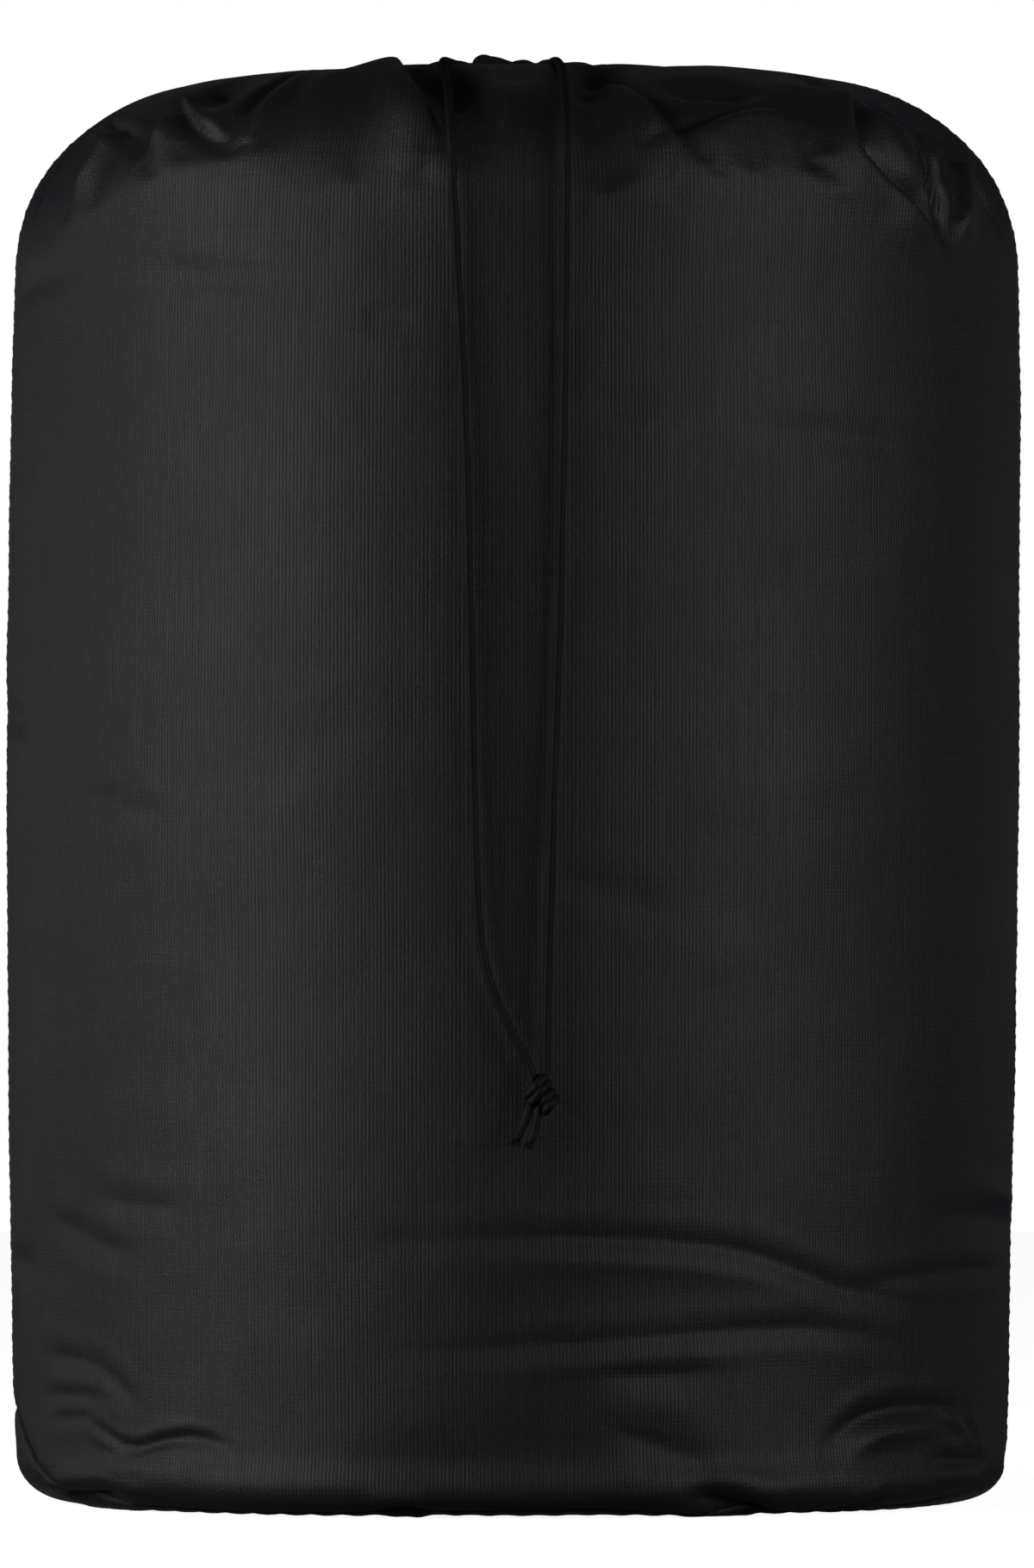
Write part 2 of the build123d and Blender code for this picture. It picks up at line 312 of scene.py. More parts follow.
BRAID_STRANDS = 8         # strands of the braid in each direction
BRAID_PITCH = 9.0 * MM    # length in which a strand goes once round
BRAID_RELIEF = 0.22       # depth between strands, as a share of the cord's radius


def braid_relief(around, along):
    """Height of a braid's surface, from 0 between its strands to 1 on top of one."""
    turns = along / BRAID_PITCH * BRAID_STRANDS
    rising = around / (2 * np.pi) * BRAID_STRANDS + turns
    falling = around / (2 * np.pi) * BRAID_STRANDS - turns
    on_top = (np.floor(rising) + np.floor(falling)) % 2 == 0
    offset = np.where(on_top, rising % 1, falling % 1) - 0.5
    return np.sqrt(np.clip(1 - (1.9 * offset) ** 2, 0, 1))


def tube(line, radius, around=32, step=0.45 * MM, braided=True):
    """(points, faces, centres, grooves) of a round tube along a line, with rounded ends."""
    centres, along = evenly(line, step)
    sides, ups = frames(centres)
    angles = np.linspace(0, 2 * np.pi, around, endpoint=False)
    end = np.minimum(along, along[-1] - along)
    cap = np.sqrt(np.clip(1 - (1 - np.clip(end / (0.5 * radius), 0, 1)) ** 2, 0.05, 1))
    groove = (1 - braid_relief(angles[None, :], along[:, None])) * braided
    spread = radius * cap[:, None] * (1 - BRAID_RELIEF * groove)
    across = (np.cos(angles)[None, :, None] * sides[:, None, :]
              + np.sin(angles)[None, :, None] * ups[:, None, :])
    rings = centres[:, None, :] + spread[..., None] * across
    return *capped(rings), centres, np.append(groove, (0, 0))


def capped(rings):
    """(points, faces) of a closed surface through rings of points, with a point at each end."""
    rows, around = rings.shape[:2]
    ends = [rings[0].mean(axis=0), rings[-1].mean(axis=0)]
    points = np.concatenate([rings.reshape(-1, 3), ends])
    faces = grid_faces(rows, around, closed=True)
    first, last, tail = rows * around, rows * around + 1, (rows - 1) * around
    faces += [(first, (k + 1) % around, k) for k in range(around)]
    faces += [(last, tail + k, tail + (k + 1) % around) for k in range(around)]
    return points, faces


def joined(parts):
    """Several (points, faces) as one."""
    points, faces, count = [], [], 0
    for part_points, part_faces in parts:
        points.append(part_points)
        faces += [tuple(k + count for k in face) for face in part_faces]
        count += len(part_points)
    return np.concatenate(points), faces


# --- drawcord ---
def metres(points):
    """Points in millimetres, in metres."""
    return [tuple(k / 1000 for k in point) for point in points]


# Routes of the two strands from their exits to the knot, the same points as in CAD.
LEFT_ROUTE = metres([
    (-8, -24.2, 395.8), (-8, -33, 395.8), (-12.2, -48, 396.3), (-17.8, -65, 397.9),
    (-19.6, -83, 397.6), (-19, -104, 394), (-17.9, -125, 388), (-17, -139.5, 378.5),
    (-16.5, -144.6, 362), (-15.8, -144, 347), (-14.6, -142.5, 326), (-13, -144, 292),
    (-12, -144.9, 247), (-11, -145.1, 202), (-10.3, -145.7, 169), (-8.4, -145.7, 151),
    (-3, -146.3, 136.5), (4.4, -147, 123),
])
RIGHT_ROUTE = metres([
    (8, -24.2, 395.8), (8, -33, 395.8), (8.6, -48, 396.3), (10.4, -65, 397.9),
    (12, -83, 397.6), (13.4, -104, 394), (13.9, -125.2, 388), (14.2, -139.7, 378.5),
    (14.1, -144.8, 362), (14, -144.2, 347), (13.8, -142.7, 324), (13.2, -144.2, 286),
    (12.2, -144.9, 241), (10.6, -145.3, 197), (9.6, -145.9, 162), (8.9, -146.1, 140),
    (8.7, -147, 122.5),
])
BLEND_TOP = 0.372         # height of one point looked up on each strand; nothing uses it
BLEND_BOTTOM = 0.190      # height of a second point looked up on each strand; nothing uses it
CORD_RADIUS = CORD_DIAMETER / 2


def cord_mesh(name, tubes):
    """A piece of cord from one or more tubes, with the grooves of its braid marked for the painted shade
    in them.
    """
    piece = make_mesh(name, *joined([(points, faces) for points, faces, _, _ in tubes]), braid)
    # the groove depth, which the cord material reads to paint shade into its grooves
    marks = piece.data.attributes.new("groove", "FLOAT", "POINT")
    marks.data.foreach_set("value", np.concatenate([groove for _, _, _, groove in tubes]))
    return piece


def strand(name, route):
    """One strand from its exit to the knot, and the points that it follows."""
    whole = tube(nurbs_line(route), CORD_RADIUS)
    return cord_mesh(name, [whole]), whole[2]


left_cord, left_path = strand("left_cord", LEFT_ROUTE)
right_cord, right_path = strand("right_cord", RIGHT_ROUTE)


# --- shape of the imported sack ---
# Heights and radii of the wall in millimetres.
FLOOR_GAP, BASE_GAP = 0.4, 0.1    # clear of the floor
CORNER_RADIUS, CORNER_HEIGHT, CORNER_ACROSS = 124.0, 13.0, 14.5
BULGE_RADIUS = BODY_RADIUS / MM
BULGE_HEIGHT = 235.0
SHOULDER_HEIGHT, SHOULDER_RADIUS = 340.0, 70.0
SHOULDER_RISE, SHOULDER_POWER = 55.0, 2.3
COLLAR_RADIUS, COLLAR_DIP = 23.0, 6.0

# The grid of the cloth.
FRONT_COLUMNS = 270       # from the left side seam round the front to the right one
BACK_COLUMNS = 150
COLUMNS = FRONT_COLUMNS + BACK_COLUMNS
ROWS = 321                # from the base seam to the collar
BASE_ROWS = 64
CLOTH_THICKNESS = 0.45 * MM


def superellipse(centre, across, rise, power, start, end, count):
    """Points of part of a superellipse; start and end are angles from level."""
    turn = np.radians(np.linspace(start, end, count))
    return np.stack([centre[0] + across * np.abs(np.cos(turn)) ** (2 / power),
                     centre[1] + rise * np.abs(np.sin(turn)) ** (2 / power)], axis=1)


def wall_profile():
    """(radius, height) from the centre of the base, up the wall, to the collar."""
    corner = superellipse((CORNER_RADIUS, CORNER_HEIGHT), CORNER_ACROSS,
                          FLOOR_GAP - CORNER_HEIGHT, 2, 90, 0, 30)
    height = np.linspace(CORNER_HEIGHT, SHOULDER_HEIGHT, 160)[1:]
    below = 3.1 * ((BULGE_HEIGHT - height) / (BULGE_HEIGHT - CORNER_HEIGHT)) ** 2
    above = 1.6 * ((height - BULGE_HEIGHT) / (SHOULDER_HEIGHT - BULGE_HEIGHT)) ** 2
    side = np.stack([BULGE_RADIUS - np.where(height < BULGE_HEIGHT, below, above), height], axis=1)
    shoulder = superellipse((SHOULDER_RADIUS, SHOULDER_HEIGHT), side[-1, 0] - SHOULDER_RADIUS,
                            SHOULDER_RISE, SHOULDER_POWER, 0, 90, 90)[1:]
    radius = np.linspace(SHOULDER_RADIUS, COLLAR_RADIUS, 30)[1:]
    share = (SHOULDER_RADIUS - radius) / (SHOULDER_RADIUS - COLLAR_RADIUS)
    dip = shoulder[-1, 1] - COLLAR_DIP * (1 - np.cos(np.pi * share)) / 2
    top = np.stack([radius, dip], axis=1)
    return np.concatenate([[(0, FLOOR_GAP)], corner, side, shoulder, top]) * MM


PROFILE = wall_profile()
PROFILE_ARC = lengths_along(PROFILE)
COLLAR_ARC = PROFILE_ARC[-1]
CORNER_ARC = CORNER_RADIUS * MM


def bump(x, centre, width):
    """A bell of height 1."""
    return np.exp(-((x - centre) / width) ** 2)


def fading(value, limit, soft):
    """1 below a limit and 0 above it, with a soft step."""
    return 1 / (1 + np.exp((value - limit) / soft))


def round_angle(angle):
    """The same angle, from -pi to pi."""
    return (angle + np.pi) % (2 * np.pi) - np.pi


SEAM_HEIGHT, SEAM_LEFT_LIFT, SEAM_RIGHT_LIFT, SEAM_BACK_LIFT = 2.4, 24, 9, 1.5


def seam_arc(angle):
    """Where the base seam runs: the base is pulled up at the left and right of the front."""
    turn = np.degrees(round_angle(angle))
    height = (SEAM_HEIGHT + SEAM_LEFT_LIFT * bump(turn, -88, 17) + SEAM_RIGHT_LIFT * bump(turn, 94, 20)
              + SEAM_BACK_LIFT * bump(np.abs(turn), 180, 60)
              + 0.4 * np.sin(7 * angle + 1) + 0.3 * np.sin(13 * angle))
    low = (PROFILE_ARC > CORNER_ARC) & (PROFILE[:, 1] < 0.1)
    return np.interp(height * MM, PROFILE[low, 1], PROFILE_ARC[low])


def profile_points(angle, arc, depth):
    """Points at an angle and arc, standing out of the plain profile by depth."""
    reach = 1.5 * MM
    radius, height = (np.interp(arc, PROFILE_ARC, PROFILE[:, k]) for k in (0, 1))
    run, rise = (np.interp(arc + reach, PROFILE_ARC, PROFILE[:, k])
                 - np.interp(arc - reach, PROFILE_ARC, PROFILE[:, k]) for k in (0, 1))
    length = np.hypot(run, rise)
    out = radius + depth * rise / length
    return np.stack([out * np.sin(angle), -out * np.cos(angle), height - depth * run / length], axis=-1)


# The front is packed fuller than the plain profile.  Under the shoulder it turns over sharply
# at these points (x, z), and at the floor it turns under sharply.
SHOULDER_LINE = [
    (-135, 360), (-118, 370), (-100, 369), (-84, 372), (-70, 377), (-50, 379), (-33, 379.5), (-20, 374),
    (0, 373), (20, 375), (42, 369), (60, 375), (80, 374), (98, 378), (116, 372), (132, 362),
]
SHOULDER_ACROSS = 125 * MM
FILL_DEPTH, FILL_WIDTH = 8.0 * MM, 19 * MM
CORNER_FILL_DEPTH, CORNER_FILL_WIDTH = 2.8 * MM, 7 * MM
CORNER_FILL_HEIGHT = 5.5 * MM
FILL_TURN, CORNER_FILL_TURN, FILL_SOFT = 60, 62, 5    # degrees from the front, where they end
RISING = slice(int(np.searchsorted(PROFILE_ARC, CORNER_ARC)) + 1, int(PROFILE[:, 1].argmax()))
shoulder_line = nurbs_line(metres([(x, z, 0) for x, z in SHOULDER_LINE]))


def arc_at(height):
    """The arc of the plain wall at a height."""
    return np.interp(height, PROFILE[RISING, 1], PROFILE_ARC[RISING])


def shoulder_fill(angle, arc):
    """How far the shoulder of the front stands out of the plain profile."""
    turn = round_angle(angle)
    height = np.interp(SHOULDER_ACROSS * np.sin(turn), shoulder_line[:, 0], shoulder_line[:, 1])
    shape = FILL_DEPTH * bump(arc, arc_at(height), FILL_WIDTH)
    return shape * fading(np.degrees(np.abs(turn)), FILL_TURN, FILL_SOFT)


def corner_fill(angle, arc):
    """How far the lower edge of the front stands out of the plain profile."""
    turn = np.degrees(np.abs(round_angle(angle)))
    shape = CORNER_FILL_DEPTH * bump(arc, arc_at(CORNER_FILL_HEIGHT), CORNER_FILL_WIDTH)
    return shape * fading(turn, CORNER_FILL_TURN, FILL_SOFT)


def place(x, z):
    """(angle, arc) of the wall's point that faces the front at x, z in millimetres."""
    arcs = PROFILE_ARC[RISING]
    about = np.full(len(arcs), math.asin(max(-1, min(1, x / 135))))
    filled = profile_points(about, arcs, shoulder_fill(about, arcs))
    top = filled[:, 2].argmax()
    arc = np.interp(z * MM, filled[:top, 2], arcs[:top])
    radius = np.interp(arc, arcs, np.hypot(filled[:, 0], filled[:, 1]))
    return math.asin(max(-1, min(1, x * MM / radius))), arc


# --- folds of the cloth ---
STEP_SHARPNESS = 11       # of a lap's edge


def stroke(angle, arc, points, width, depth, kind="crease"):
    """Depth of a fold that follows points (x, z) of the front, at every angle and arc.

    crease and ridge are lines, dent is a wide hollow, and step is a lap: it stands up
    at once on the left of its direction and runs out slowly on that side.
    """
    spots = np.array([place(x, z) for x, z in points])
    radius = np.interp(spots[:, 1].mean(), PROFILE_ARC, PROFILE[:, 0])
    line = nurbs_line([(a * radius, s, 0) for a, s in spots])[:, :2]
    x, y = round_angle(angle) * radius, arc
    nearest = np.full(x.shape, 1e9)
    side, along = np.zeros(x.shape), np.zeros(x.shape)
    begun = lengths_along(line)
    for start, end, step, before in zip(line, line[1:], np.diff(begun), begun):
        if step == 0:
            continue
        run = (end - start) / step
        t = np.clip((x - start[0]) * run[0] + (y - start[1]) * run[1], 0, step)
        dx, dy = x - start[0] - t * run[0], y - start[1] - t * run[1]
        distance = np.hypot(dx, dy)
        closer = distance < nearest
        nearest = np.where(closer, distance, nearest)
        side = np.where(closer, run[0] * dy - run[1] * dx, side)
        along = np.where(closer, before + t, along)
    share = along / begun[-1]
    taper = np.clip(np.minimum(share, 1 - share) / 0.3, 0, 1)
    taper = (taper * taper * (3 - 2 * taper)) * 0.85 + 0.15
    away = nearest / (width * MM)
    if kind == "step":
        signed = np.sign(side) * away
        rise = fading(-np.clip(signed * STEP_SHARPNESS, -30, 30), 0, 1)
        shape = rise * np.exp(-(np.maximum(signed, 0) / 2.2) ** 2)
        shape -= 0.35 * np.exp(-((signed + 0.35) / 0.5) ** 2)
    elif kind == "dent":
        shape = -np.exp(-away ** 2)
    else:
        shape = np.exp(-away ** 1.5) - 0.25 * np.exp(-((away - 2.4) / 1.1) ** 2)
        if kind == "crease":
            shape = -shape
    end_fade = np.where((share <= 0) | (share >= 1), np.exp(-(away / 1.2) ** 2), 1)
    return depth * MM * shape * taper * end_fade


# Folds of the front: kind, width, depth, points (x, z).  All in millimetres.
LOWER_FOLDS = [
    ("crease", 2.6, 1.0, [(-36, 75), (0, 77), (30, 76), (60, 73.5), (78, 67), (95, 59), (118, 57)]),
    ("ridge", 4.5, 0.45, [(-20, 69), (20, 70.5), (60, 67), (82, 60)]),
    ("crease", 2.2, 0.9, [(92, 63), (112, 66), (136, 65.5)]),
    ("crease", 2.6, 0.85, [(-32, 45), (0, 46.5), (33, 49), (70, 51.5), (90, 50.5), (106, 46)]),
    ("ridge", 4.0, 0.35, [(-10, 41), (30, 43), (70, 45.5)]),
    ("crease", 3.4, 0.7, [(20, 39), (37, 38.6), (54, 40)]),
    ("crease", 3.2, 0.5, [(-115, 86), (-100, 83.5), (-88, 84)]),
    ("crease", 3.0, 0.65, [(-129, 81), (-117, 75), (-102, 69)]),
    ("dent", 4.0, 0.8, [(-140, 68), (-131, 66)]),
    ("crease", 2.6, 0.7, [(-131, 42), (-118, 42), (-108, 36), (-99, 25)]),
    ("crease", 2.0, 0.5, [(-130, 30), (-118, 33), (-108, 30)]),
    ("crease", 1.6, 0.5, [(-127, 25), (-120, 24.5), (-115, 27)]),
    ("crease", 1.8, 0.7, [(-116, 18), (-104, 15), (-94, 19), (-78, 20)]),
    ("ridge", 3.0, 0.5, [(-112, 10), (-96, 13), (-76, 16)]),
    ("crease", 1.6, 0.5, [(-114, 12), (-106, 9.5), (-98, 11)]),
    ("dent", 5.0, 1.1, [(110, 82), (126, 80), (141, 76)]),
    ("ridge", 3.0, 0.9, [(126, 89), (141, 83)]),
    ("crease", 2.4, 1.5, [(84, 14), (88, 22), (97, 27.5), (110, 29), (126, 27.5)]),
    ("ridge", 3.0, 1.2, [(90, 13), (96, 20), (106, 23), (117, 22)]),
    ("crease", 1.4, 0.9, [(116, 26), (121, 22), (122, 16)]),
    ("ridge", 1.2, 0.7, [(118, 27), (124, 23), (127, 17)]),
    ("crease", 1.7, 1.8, [(114, 14), (122, 13.5), (131, 12.5)]),
    ("crease", 1.3, 1.0, [(125, 25), (129, 18), (128, 11)]),
    ("crease", 4.2, 0.8, [(24, 26), (44, 19), (60, 10)]),
    ("dent", 15.0, 1.6, [(-50, 6), (-10, 11), (20, 11), (48, 4)]),
    ("crease", 2.6, 3.6, [(-124, 2), (-114, 4), (-104, 6)]),
    ("crease", 2.4, 3.0, [(-37, 2), (-29, 3), (-22, 2)]),
    ("crease", 3.0, 4.0, [(46, 7), (58, 4.5), (70, 2)]),
    ("crease", 1.5, 1.6, [(84, 2.5), (92, 4), (101, 6)]),
    ("crease", 1.3, 0.9, [(-118, 26), (-110, 20), (-103, 17), (-95, 21), (-84, 22), (-74, 17)]),
    ("ridge", 1.5, 0.6, [(-116, 22), (-107, 16), (-96, 17), (-84, 18)]),
    ("ridge", 7.0, 1.0, [(60, 8), (80, 10), (104, 8)]),
]
UPPER_FOLDS = [
    ("crease", 2.9, 0.8, [(-139, 335), (-130, 339), (-120, 341)]),
    ("crease", 3.1, 0.8, [(-102, 340), (-80, 337), (-54, 336)]),
    ("crease", 2.5, 0.8, [(-42, 326), (-26, 325)]),
    ("crease", 2.5, 0.7, [(20, 302), (40, 302)]),
    ("crease", 3.8, 0.8, [(60, 298), (95, 292), (130, 288)]),
    ("dent", 4.2, 1.5, [(-143, 220), (-134, 216)]),
    ("crease", 3.4, 0.8, [(-119, 197), (-106, 192), (-92, 190)]),
    ("crease", 3.8, 0.6, [(8, 175), (44, 165)]),
]
TOP_FOLDS = [
    ("step", 5.0, 4.5, [(-91, 389), (-90, 384), (-84, 377), (-76, 375.0)]),
    ("dent", 6.0, 6.0, [(-80, 392), (-83, 386), (-80, 380)]),
    ("crease", 1.6, 2.0, [(-58, 394), (-66, 387), (-78, 376.5)]),
    ("ridge", 2.2, 1.6, [(-55, 392), (-63, 385), (-74, 376)]),
    ("step", 4.0, 4.5, [(-86, 387), (-94, 380), (-102, 373)]),
    ("crease", 2.0, 2.8, [(-114, 385), (-105, 379), (-101, 373.5)]),
    ("ridge", 4.0, 2.4, [(-108, 381), (-115, 372), (-121, 360)]),
    ("crease", 2.4, 2.2, [(-122, 379), (-128, 371), (-133, 358)]),
    ("ridge", 8.0, 1.8, [(-62, 388), (-46, 391), (-31, 393)]),
    ("step", 5.0, 5.2, [(-17, 372), (-23, 383), (-31, 393.5)]),
    ("dent", 6.0, 6.0, [(-24, 394), (-15, 386), (-12, 379)]),
    ("ridge", 4.0, 2.0, [(-8, 394), (-3, 384), (0, 372)]),
    ("dent", 7.0, 6.5, [(20, 395), (22, 387), (20, 378)]),
    ("step", 5.0, 4.6, [(50, 370), (37, 379), (23, 392)]),
    ("dent", 7.0, 6.0, [(40, 387), (54, 388), (70, 386)]),
    ("step", 4.5, 3.8, [(84, 379), (73, 382), (62, 382), (50, 377), (40, 374)]),
    ("dent", 4.0, 2.2, [(82, 392), (84, 386)]),
    ("step", 5.0, 5.5, [(119.5, 346), (109, 357), (97, 367), (90, 377), (88, 389)]),
    ("ridge", 6.0, 3.0, [(95, 386), (101, 375), (112, 361)]),
    ("crease", 2.2, 6.0, [(101, 386), (108, 379), (113, 369), (119, 351)]),
    ("ridge", 1.8, 2.0, [(110, 383), (114.5, 374), (116, 362)]),
    ("step", 4.0, 3.6, [(120, 378), (123.5, 366), (121, 348)]),
    ("crease", 2.6, 3.0, [(117, 379), (127, 368), (135.5, 353)]),
]


def uneven(count, seed, spread=0.45):
    """Angles of count places round the sack, unevenly spaced."""
    rng = np.random.default_rng(seed)
    gaps = 1 + spread * rng.uniform(-1, 1, count)
    return np.concatenate([[0], np.cumsum(gaps)]) / gaps.sum() * 2 * np.pi - np.pi, rng


def gathers(angle, arc, count, seed, reach, depth, lean):
    """Pleats that run out from the collar: sharp valleys between rounded ridges."""
    spots, rng = uneven(count, seed)
    lengths, heights = rng.uniform(0.6, 1.0, count), rng.uniform(0.5, 1.0, count)
    inward = COLLAR_ARC - arc
    turned = round_angle(angle + lean * inward)
    pleat = np.clip(np.searchsorted(spots, turned, side="right") - 1, 0, count - 1)
    share = (turned - spots[pleat]) / (spots[pleat + 1] - spots[pleat])
    crown = np.sin(np.pi * share) ** 0.7
    fade = np.clip(1 - inward / (reach * lengths[pleat]), 0, 1)
    return depth * MM * heights[pleat] * (crown - 0.5) * fade ** 1.2


def lumps(angle, arc, shortest, longest, count, seed):
    """Low soft unevenness with no direction, about 1 high."""
    rng = np.random.default_rng(seed)
    total = np.zeros(angle.shape)
    for _ in range(count):
        length = rng.uniform(shortest, longest) * MM
        heading = rng.uniform(0, 2 * np.pi)
        round_count = round(2 * np.pi * BODY_RADIUS * math.cos(heading) / length)
        phase = rng.uniform(0, 2 * np.pi)
        total += np.sin(round_count * angle + 2 * np.pi * math.sin(heading) * arc / length + phase)
    return total / math.sqrt(count)


def near(value, low, high, soft):
    """1 between low and high, fading out over soft on both sides."""
    return np.clip((value - low) / soft + 1, 0, 1) * np.clip((high - value) / soft + 1, 0, 1)


LEAN = 1.5 * MM
LEAN_LOW, LEAN_HIGH = 0.17, 0.30


def leaning(angle, height):
    """The left side leans in above the middle, and the right side below it."""
    turn = np.degrees(round_angle(angle))
    share = np.clip((height - LEAN_LOW) / (LEAN_HIGH - LEAN_LOW), 0, 1)
    return -LEAN * (bump(turn, -90, 40) * share + bump(turn, 90, 40) * (1 - share))


def fold_depth(angle, arc):
    """How far the cloth stands out of the plain profile."""
    height = np.interp(arc, PROFILE_ARC, PROFILE[:, 1])
    upright = np.clip(height / 0.012, 0, 1)
    depth = 0.40 * MM * upright * lumps(angle, arc, shortest=70, longest=180, count=24, seed=5)
    depth += 0.10 * MM * upright * lumps(angle, arc, shortest=18, longest=40, count=40, seed=6)
    depth += shoulder_fill(angle, arc) + corner_fill(angle, arc) + upright * leaning(angle, height)
    for kind, width, deep, points in LOWER_FOLDS + UPPER_FOLDS + TOP_FOLDS:
        depth += stroke(angle, arc, points, width, deep, kind)
    front = near(np.abs(np.degrees(round_angle(angle))), 0, 62, 25)
    close = np.clip(1 - (COLLAR_ARC - arc) / (60 * MM), 0, 1)
    free = 1 - front * (1 - close)
    depth += free * gathers(angle, arc, count=15, seed=21, reach=0.150, depth=7.5, lean=1.2)
    depth += gathers(angle, arc, count=31, seed=22, reach=0.070, depth=3.2, lean=-2.0)
    return depth


# --- the cloth as one grid ---
def grid_normals(grid):
    """Outward unit normals of a grid that closes round the sack."""
    across = np.roll(grid, -1, axis=1) - np.roll(grid, 1, axis=1)
    return unit(np.cross(across, np.gradient(grid, axis=0)))


column_angles = np.concatenate([np.linspace(-np.pi / 2, np.pi / 2, FRONT_COLUMNS, endpoint=False),
                                np.linspace(np.pi / 2, 1.5 * np.pi, BACK_COLUMNS, endpoint=False)])
edge_angles = np.append(column_angles, 1.5 * np.pi)
seam_arcs = seam_arc(column_angles)


def spaced_rows():
    """Shares of the way from seam to collar, closer together where the cloth is folded."""
    share = np.linspace(0, 1, 2000)
    density = 1 + 1.3 * (share < 0.2) + 1.6 * (share > 0.72)
    total = np.cumsum(density)
    return np.interp(np.linspace(total[0], total[-1], ROWS), total, share)


row_shares = spaced_rows()
wall_angles = np.broadcast_to(column_angles, (ROWS, COLUMNS))
wall_arcs = seam_arcs + (COLLAR_ARC - seam_arcs) * row_shares[:, None]


def seam_groove(angle, arc):
    """The base seam is drawn in."""
    return -0.9 * MM * np.exp(-np.abs(arc - seam_arc(angle)) / (1.3 * MM))


wall = profile_points(wall_angles, wall_arcs,
                      fold_depth(wall_angles, wall_arcs) + seam_groove(wall_angles, wall_arcs))
wall[..., 2] = np.maximum(wall[..., 2], FLOOR_GAP * MM)


# --- cloth simulation ---
SIM_STEP = 2              # the simulated cloth has every second column and row
SIM_FRAMES = 24
SIM_CAP = 3.5 * MM        # how far the simulation may move the cloth
SIM_SETTINGS = {
    "quality": 5, "mass": 0.15, "tension_stiffness": 20, "compression_stiffness": 20,
    "shear_stiffness": 5, "bending_stiffness": 0.6, "air_damping": 2.0,
    "use_pressure": True, "uniform_pressure_force": 3.0,
}
WALL_FULLNESS, MOUTH_FULLNESS = 0.004, 0.14
FULLNESS_REACH = 0.15     # from the collar


def settled(start, rest):
    """The grid after it has settled under pressure, held at the base seam and the collar."""
    rows, columns = start.shape[:2]
    faces = grid_faces(rows, columns, closed=True)
    cloth = make_mesh("settling", start.reshape(-1, 3), faces, body_cloth)
    cloth.shape_key_add(name="start")
    cut = cloth.shape_key_add(name="cut")
    cut.data.foreach_set("co", np.asarray(rest, np.float32).ravel())
    held = cloth.vertex_groups.new(name="held")
    held.add([*range(columns), *range((rows - 4) * columns, rows * columns)], 1.0, "REPLACE")
    physics = cloth.modifiers.new("cloth", "CLOTH")
    settings = physics.settings
    for setting, value in SIM_SETTINGS.items():
        setattr(settings, setting, value)
    settings.vertex_group_mass = held.name
    settings.rest_shape_key = cut
    settings.effector_weights.gravity = 0
    physics.collision_settings.use_collision = False
    for frame_number in range(1, SIM_FRAMES + 1):
        bpy.context.scene.frame_set(frame_number)
    done = cloth.evaluated_get(bpy.context.evaluated_depsgraph_get()).to_mesh()
    points = np.empty(rows * columns * 3, np.float32)
    done.vertices.foreach_get("co", points)
    bpy.data.objects.remove(cloth)
    bpy.context.scene.frame_set(1)
    return points.reshape(rows, columns, 3).astype(float)


def finer(moves):
    """Moves of the simulated cloth, at every column and row of the whole grid."""
    columns, rows = np.arange(COLUMNS) / SIM_STEP, np.arange(ROWS) / SIM_STEP
    left, low = columns.astype(int), np.minimum(rows.astype(int), moves.shape[0] - 2)
    part = (columns - left)[None, :, None]
    wide = moves[:, left] * (1 - part) + moves[:, (left + 1) % moves.shape[1]] * part
    part = (rows - low)[:, None, None]
    return wide[low] * (1 - part) + wide[low + 1] * part


def simulate(grid):
    """The grid, settled as cloth that is cut fuller than the sack towards the collar."""
    start = grid[::SIM_STEP, ::SIM_STEP]
    inward = (COLLAR_ARC - wall_arcs)[::SIM_STEP, ::SIM_STEP, None]
    fullness = WALL_FULLNESS + MOUTH_FULLNESS * np.clip(1 - inward / FULLNESS_REACH, 0, 1)
    rest = start * (1 + fullness * (1, 1, 0))
    moves = settled(start, rest) - start
    length = np.linalg.norm(moves, axis=2)[..., None]
    moves *= SIM_CAP * np.tanh(length / SIM_CAP) / np.maximum(length, 1e-9)
    return grid + finer(moves)


PRESS_CLEARANCE = CORD_RADIUS + 0.45 * MM    # from a strand's centre to the cloth's surface
PRESS_SLOPE = 0.45        # of the groove's sides
PRESS_ASIDE, PRESS_HIGH = 4 * MM, 6 * MM     # how close a strand has to be


def pressed(grid, normals):
    """The cloth, pushed in where a strand lies on it, in a groove with sloping sides."""
    out = grid.copy()
    front = (grid[..., 1] < -0.02) & (np.abs(grid[..., 0]) < 0.035)
    points, along = grid[front], normals[front]
    push = np.zeros(len(points))
    for path in (left_path, right_path):
        for spot in path[::4]:
            offset = spot - points
            high = (offset * along).sum(axis=1)
            aside = np.sqrt(np.maximum((offset ** 2).sum(axis=1) - high ** 2, 0))
            depth = PRESS_CLEARANCE - PRESS_SLOPE * aside - high
            push = np.maximum(push, np.where((aside < PRESS_ASIDE) & (high > -PRESS_HIGH), depth, 0))
    out[front] -= along * push[:, None]
    return out


wall = simulate(wall)
wall = pressed(wall, grid_normals(wall))
wall_normals = grid_normals(wall)


